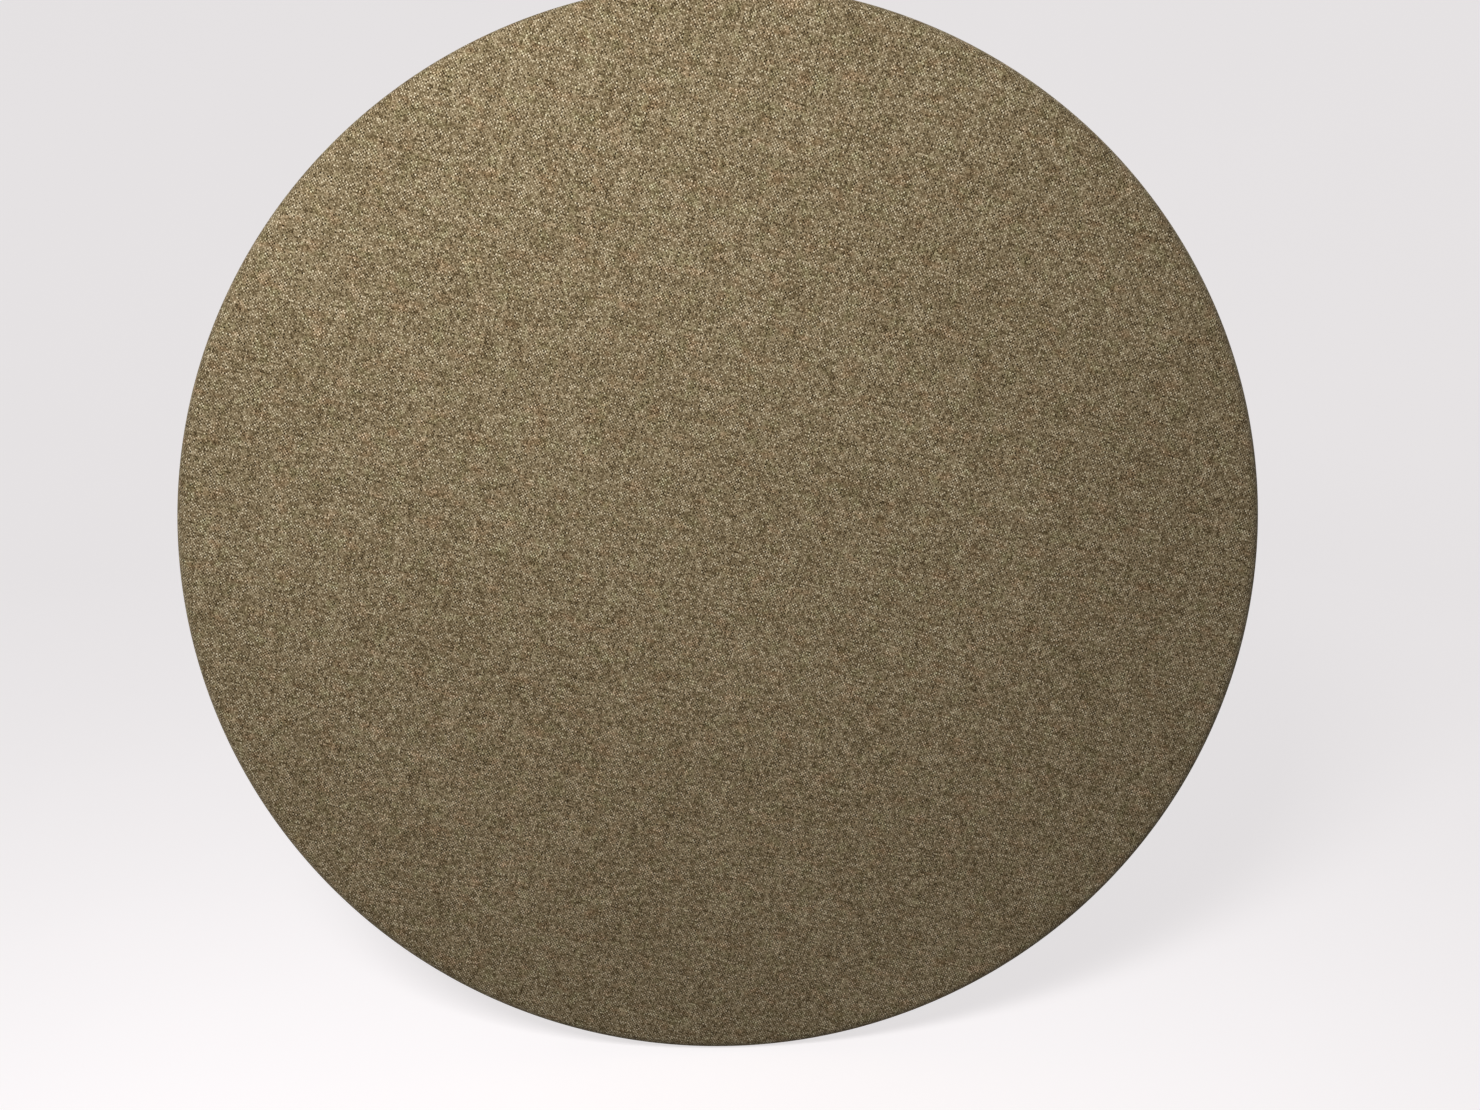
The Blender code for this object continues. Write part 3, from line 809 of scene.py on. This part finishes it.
# --- Wall bumpers ---------------------------------------------------------------------------------
# Four tapered black rubber feet, moulded with a sunk floor for a screw. They keep the panel off the
# wall, and have the light bloom that soft rubber takes on.

BUMPER_FLOOR = 0.0035
BUMPER_BORE = 0.005
SHANK_BORE = 0.0021

rubber = Finish("black_rubber", Specular_IOR_Level=0.35)
grain = rubber.noise(rubber.place(), 1600.0, 3.0, 0.6)
bloom = rubber.between(rubber.noise(rubber.place(), 160.0, 4.0, 0.65), 0.42, 0.75)
black = rubber.ramp(grain, (0.3, linear(26, 26, 26)), (0.7, linear(44, 43, 42)))
rubber.wear(
    colour=rubber.blend(bloom * 0.5, black, linear(78, 76, 72)),
    roughness=0.62 + bloom * 0.25,
)
rubber.relief(grain, 0.00008)


def bumper_profile(low, high):
    """From the base's bore out round the side, over the rounded face and down into the sunk floor."""
    base = (high.x - low.x) / 2
    start, end = low.y, high.y
    face = base - 0.002
    edge, lip = 0.0013, 0.0007
    profile = [(SHANK_BORE, start), (base - 0.0006, start)]
    profile += [(base - 0.0001, start + 0.0003), (base, start + 0.0010)]
    profile += arc((face - edge, end - edge), edge, 15, 90, 6)
    profile += arc((BUMPER_BORE + lip, end - lip), lip, 90, 180, 4)
    profile += [(BUMPER_BORE, start + BUMPER_FLOOR + 0.0005), (BUMPER_BORE - 0.0005, start + BUMPER_FLOOR)]
    return profile + [(SHANK_BORE, start + BUMPER_FLOOR), (SHANK_BORE, start)]


for name in [name for name in node if name.startswith("wall_bumper_")]:
    low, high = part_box(name)
    middle = (low + high) / 2
    mesh = turned_mesh(f"{name}_rubber", bumper_profile(low, high), 64, middle=(middle.x, 0, middle.z))
    merge(mesh)
    smooth(mesh, 50)
    bumper = link(f"{name}_rubber", mesh, rubber.material)
    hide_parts(name)
    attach(bumper, "panel")

# --- Screws ---------------------------------------------------------------------------------------
# Zinc-plated wood screws with a cross recess: domed heads hold the bumpers and the hangers, and
# countersunk ones pull the rails into their laps. Each was driven to its own turn.

SHANK = 0.0018
HEAD = 0.0038
DOME = 0.0023
POINT = 0.004
THREAD_DEPTH = 0.00045
THREAD_PITCH = 0.0018
RECESS_WIDTH = 0.0011
RECESS_SPAN = 0.0046
RECESS_DEPTH = 0.0016


def recess_wing(turn):
    """Two opposite wings of the driver that stamps the recess, tapering as they go down."""
    shape = bmesh.new()
    for corner in bmesh.ops.create_cube(shape, size=1.0)["verts"]:
        deep = corner.co.y < 0
        corner.co.x *= RECESS_SPAN * (0.3 if deep else 1.0)
        corner.co.z *= RECESS_WIDTH * (0.6 if deep else 1.0)
        corner.co.y = -RECESS_DEPTH if deep else 0.0003
    mesh = bpy.data.meshes.new("wing")
    shape.to_mesh(mesh)
    shape.free()
    mesh.transform(Matrix.Rotation(turn, 4, "Y"))
    return mesh


def screw_mesh(name, length, countersunk):
    """A screw along Y, its head's seat at 0 and its point towards the face. Its thread is a row of ridges."""
    if countersunk:
        top = 0.0
        head = [(0.0, 0.0), (HEAD - 0.0002, 0.0), (HEAD, -0.0002), (SHANK, -(HEAD - SHANK))]
    else:
        top = DOME
        head = [(HEAD * math.sin(a), DOME * math.cos(a)) for a in [k * math.pi / 22 for k in range(12)]]
        head += [(HEAD - 0.0002, 0.0), (SHANK, 0.0)]
    start = head[-1][1] - 0.0012
    profile = head + [(SHANK, start)]
    turns = int((length + start - POINT) / THREAD_PITCH)
    for k in range(turns):
        level = start - k * THREAD_PITCH
        profile += [
            (SHANK - THREAD_DEPTH, level - 0.35 * THREAD_PITCH),
            (SHANK - THREAD_DEPTH, level - 0.75 * THREAD_PITCH),
            (SHANK, level - 0.95 * THREAD_PITCH),
            (SHANK, level - THREAD_PITCH),
        ]
    profile.append((0.0, -length))
    body = link(name, turned_mesh(name, profile, 32), zinc.material)
    for turn in (0, math.pi / 2):
        wing = link("wing", recess_wing(turn), zinc.material)
        wing.data.transform(Matrix.Translation((0, top, 0)))
        stamp = body.modifiers.new("recess", "BOOLEAN")
        stamp.object = wing
        settle(body)
        bpy.data.objects.remove(wing)
    return body


screws_recipe = Recipe("driven_screws", Screw="Object", Seed="Int")
places = screws_recipe.add("GeometryNodeMeshToPoints", {}, {"Mesh": screws_recipe.given("Geometry")})
master = screws_recipe.add(
    "GeometryNodeObjectInfo", {}, {"Object": screws_recipe.given("Screw")}, output="Geometry"
)
quarter_turn = screws_recipe.add(
    "FunctionNodeRandomValue", {}, {2: 0.0, 3: math.pi / 2, "Seed": screws_recipe.given("Seed")}, output=1
)
turned = screws_recipe.add("FunctionNodeAxisAngleToRotation", {}, {"Axis": (0, 1, 0), "Angle": quarter_turn})
driven = screws_recipe.add(
    "GeometryNodeInstanceOnPoints", {}, {"Points": places, "Instance": master, "Rotation": turned}
)
screws_recipe.finish(driven, zinc.material)


def screw_set(name, prefix, countersunk, seed):
    """One piece for all the screws whose nodes start with a prefix, each in its node's place."""
    nodes = sorted(node_name for node_name in node if node_name.startswith(prefix))
    boxes = [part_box(node_name) for node_name in nodes]
    seat = boxes[0][1].y - (0.0 if countersunk else DOME)
    length = seat - boxes[0][0].y
    seats = [((low.x + high.x) / 2, seat, (low.z + high.z) / 2) for low, high in boxes]
    start = bpy.data.meshes.new(name)
    start.from_pydata(seats, [], [])
    model = screw_mesh(f"{name}_model", length, countersunk)
    screws = screws_recipe.make(name, start, "zinc_steel", Screw=model, Seed=seed)
    bpy.data.objects.remove(model)
    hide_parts(*nodes)
    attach(screws, "panel")


screw_set("bumper_screws", "bumper_screw_", False, 3)
screw_set("hanger_screws", "hanger_screw_", False, 5)
screw_set("rail_screws", "rail_screw_", True, 8)

# --- Hangers --------------------------------------------------------------------------------------
# A strip of zinc-plated steel folded over the bar of a D-ring, its halves lying on each other and
# screwed to the upper rail. The ring is bent from round wire and swings in the fold, from hanging
# down to standing up.

STRIP = 0.0012
STRAP_WIDTH = 0.020
STRAP_CORNER = 0.007
STRAP_HOLES = (0.0265, 0.0395)
HOLE_RADIUS = 0.00215
SLIT = 0.00008
RING_WIRE = 0.00175
RING_HALF_WIDTH = 0.01375
RING_DROP = 0.01925
RING_BEND = 0.0035
RING_LEAN = math.radians(5.0)


def extruded(name, outline, depth):
    """A flat outline of (x, y) points made a solid of that depth, centred on its plane."""
    shape = bmesh.new()
    corners = [shape.verts.new((x, y, -depth / 2)) for x, y in outline]
    face = shape.faces.new(corners)
    grown = bmesh.ops.extrude_face_region(shape, geom=[face])["geom"]
    lifted = [spot for spot in grown if isinstance(spot, bmesh.types.BMVert)]
    bmesh.ops.translate(shape, verts=lifted, vec=(0, 0, depth))
    bmesh.ops.recalc_face_normals(shape, faces=shape.faces)
    mesh = bpy.data.meshes.new(name)
    shape.to_mesh(mesh)
    shape.free()
    return mesh


def strap_solid(name, bar, length):
    """The folded strip. Its side view is a hairpin round the bar, cut to the rounded blank and drilled."""
    bore, fold = RING_WIRE + 0.0003, RING_WIRE + 0.0003 + STRIP
    inner_level = -fold
    middle_level = inner_level + STRIP
    meet = math.degrees(math.asin((fold - 2 * STRIP) / fold))
    enter = math.degrees(math.asin((bore - SLIT) / bore))
    hairpin = [(-length, inner_level)]
    hairpin += arc((0, 0), fold, -90, 180 + meet, 44)
    hairpin += [(-length, middle_level + STRIP), (-length, middle_level + SLIT)]
    hairpin += arc((0, 0), bore, 180 + enter, -90, 44)
    hairpin += [(-length, middle_level)]
    mesh = extruded(name, hairpin, STRAP_WIDTH)
    # The side view's x runs up the panel, its y away from the face, and its depth across the strap.
    mesh.transform(Matrix(((0, 0, 1, 0), (0, 1, 0, 0), (1, 0, 0, 0), (0, 0, 0, 1))))
    strap = link(name, mesh, zinc.material)
    half, end = STRAP_WIDTH / 2, -length
    blank = arc((half - STRAP_CORNER, end + STRAP_CORNER), STRAP_CORNER, 0, -90, 14)
    blank += arc((STRAP_CORNER - half, end + STRAP_CORNER), STRAP_CORNER, -90, -180, 14)
    blank += [(-half - 0.001, 0.01), (half + 0.001, 0.01)]
    tools = [(extruded("blank", blank, 0.05), "INTERSECT")]
    for drop in STRAP_HOLES:
        tools.append((extruded("hole", arc((0, -drop), HOLE_RADIUS, 0, 345, 23), 0.05), "DIFFERENCE"))
    for tool_mesh, operation in tools:
        tool_mesh.transform(Matrix.Rotation(math.pi / 2, 4, "X"))
        tool = link("punch", tool_mesh, zinc.material)
        punch = strap.modifiers.new("punch", "BOOLEAN")
        punch.object = tool
        punch.operation = operation
        settle(strap)
        bpy.data.objects.remove(tool)
    edge = strap.modifiers.new("rolled_edges", "BEVEL")
    edge.width = 0.00022
    edge.segments = 2
    edge.limit_method = "ANGLE"
    edge.angle_limit = math.radians(50)
    settle(strap)
    strap.data.transform(Matrix.Translation(bar))
    smooth(strap.data, 32)
    return strap


def ring_solid(name, bar):
    """The D of round wire: a straight bar, two bends, two short sides and a half-round bow."""
    path = arc((RING_HALF_WIDTH - RING_BEND, -RING_BEND), RING_BEND, 90, 0, 8)
    path += arc((0, RING_HALF_WIDTH - RING_DROP), RING_HALF_WIDTH, 0, -180, 40)
    path += arc((RING_BEND - RING_HALF_WIDTH, -RING_BEND), RING_BEND, 180, 90, 8)
    curve = bpy.data.curves.new(name, "CURVE")
    curve.dimensions = "3D"
    curve.bevel_depth = RING_WIRE
    curve.bevel_resolution = 6
    wire = curve.splines.new("POLY")
    wire.points.add(len(path) - 1)
    for point, (x, z) in zip(wire.points, path):
        point.co = (x, 0.0, z, 1.0)
    wire.use_cyclic_u = True
    holder = bpy.data.objects.new(name, curve)
    bpy.context.scene.collection.objects.link(holder)
    graph = bpy.context.evaluated_depsgraph_get()
    mesh = bpy.data.meshes.new_from_object(holder.evaluated_get(graph))
    bpy.data.objects.remove(holder)
    mesh.transform(Matrix.Translation(bar) @ Matrix.Rotation(RING_LEAN, 4, "X"))
    ring_piece = link(name, mesh, zinc.material)
    smooth(mesh, 60)
    return ring_piece


for joint in frame["joints"]:
    side = joint["child"].removeprefix("ring_")
    bar = Vector(joint["pos_m"])
    length = bar.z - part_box(f"hanger_strap_{side}")[0].z
    strap = strap_solid(f"strap_{side}", bar, length)
    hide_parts(f"hanger_strap_{side}")
    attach(strap, "panel")
    d_ring = ring_solid(f"d_ring_{side}", bar)
    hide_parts(f"hanger_ring_{side}")
    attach(d_ring, f"ring_{side}")
